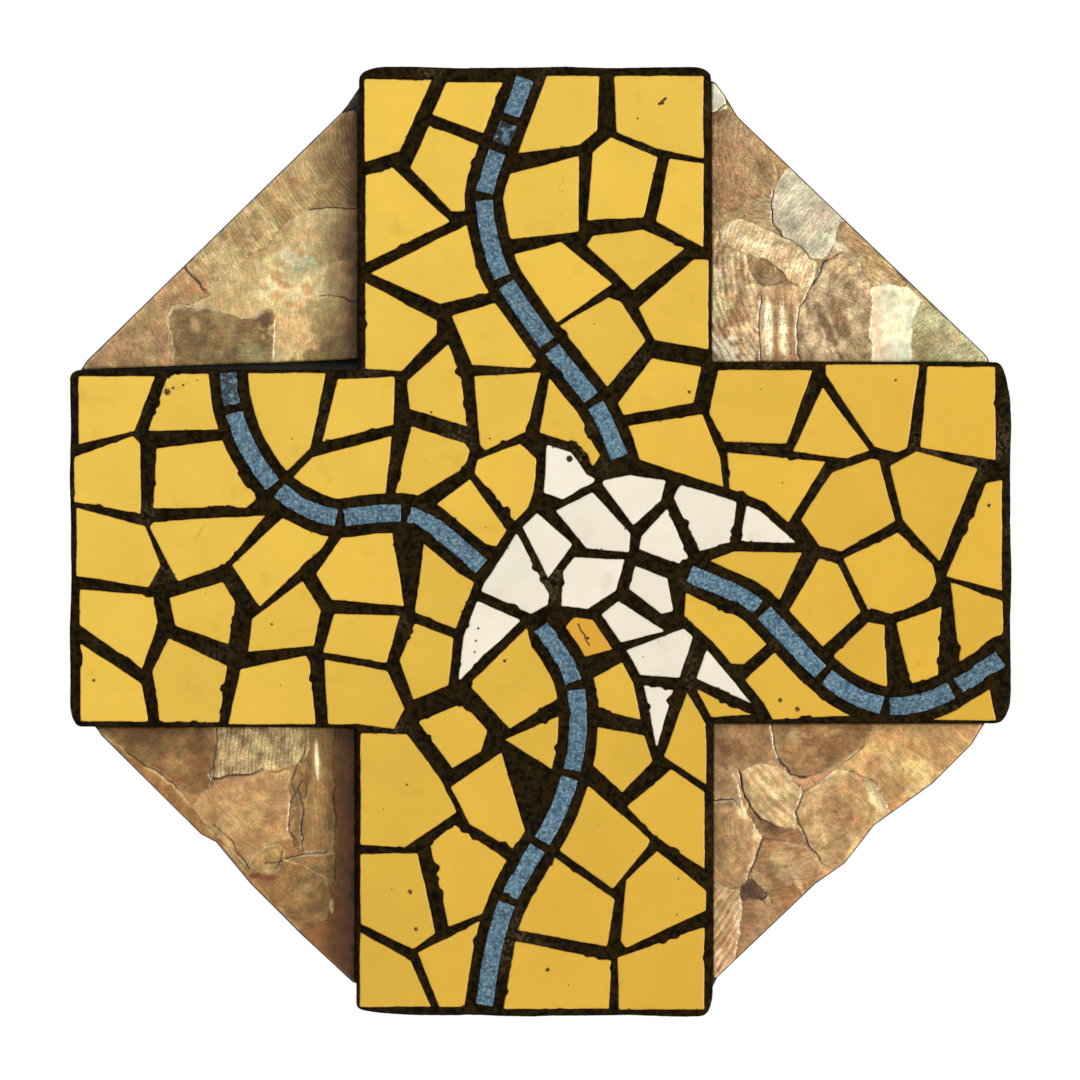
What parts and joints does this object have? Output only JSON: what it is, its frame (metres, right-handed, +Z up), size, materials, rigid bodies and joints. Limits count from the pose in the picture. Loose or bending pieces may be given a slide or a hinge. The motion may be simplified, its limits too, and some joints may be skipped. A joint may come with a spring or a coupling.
{
  "type": "mosaic cross wall plaque",
  "caption": "Wall-hung cross of broken yellow tile with blue streams and a white dove in black grout, raised on a black octagonal board with lacquered shell corners.",
  "frame": {"origin": "centre of the backing board's flat back face, where it lies on the wall", "axes": "+X to the right seen from the front, +Z up, the mosaic faces -Y and +Y points into the wall"},
  "size_m": [0.2996, 0.024, 0.3022],
  "materials": {
    "black_board": "black paint on board, satin, worn at the edges",
    "lacquered_shell": "pieces of mother-of-pearl under clear gloss lacquer, tan and silver with fine growth ribs",
    "yellow_glaze": "warm yellow satin glaze with small pits and chipped edges",
    "black_grout": "near-black grainy cement grout",
    "blue_glaze": "finely speckled mid-blue glaze",
    "white_glaze": "cream-white gloss glaze with chipped edges"
  },
  "bodies": {
    "root": {"backing_board": "black_board", "blue_strip_bottom_1": "blue_glaze", "blue_strip_bottom_2": "blue_glaze", "blue_strip_bottom_3": "blue_glaze", "blue_strip_bottom_4": "blue_glaze", "blue_strip_bottom_5": "blue_glaze", "blue_strip_left_1": "blue_glaze", "blue_strip_left_2": "blue_glaze", "blue_strip_left_3": "blue_glaze", "blue_strip_left_4": "blue_glaze", "blue_strip_left_5": "blue_glaze", "blue_strip_right_1": "blue_glaze", "blue_strip_right_2": "blue_glaze", "blue_strip_right_3": "blue_glaze", "blue_strip_right_4": "blue_glaze", "blue_strip_right_5": "blue_glaze", "blue_strip_top_1": "blue_glaze", "blue_strip_top_2": "blue_glaze", "blue_strip_top_3": "blue_glaze", "blue_strip_top_4": "blue_glaze", "blue_strip_top_5": "blue_glaze", "blue_strip_top_6": "blue_glaze", "blue_strip_top_7": "blue_glaze", "grout": "black_grout", "shell_panel_bottom_left": "lacquered_shell", "shell_panel_bottom_right": "lacquered_shell", "shell_panel_top_left": "lacquered_shell", "shell_panel_top_right": "lacquered_shell", "white_back": "white_glaze", "white_belly": "white_glaze", "white_breast": "white_glaze", "white_head": "white_glaze", "white_neck": "white_glaze", "white_rump": "white_glaze", "white_shoulder": "white_glaze", "white_tail_left": "white_glaze", "white_tail_right": "white_glaze", "white_wing_left_inner": "white_glaze", "white_wing_left_middle": "white_glaze", "white_wing_left_tip": "white_glaze", "white_wing_right_inner": "white_glaze", "white_wing_right_middle": "white_glaze", "white_wing_right_tip": "white_glaze", "yellow_tiles": "yellow_glaze"}
  },
  "joints": []
}
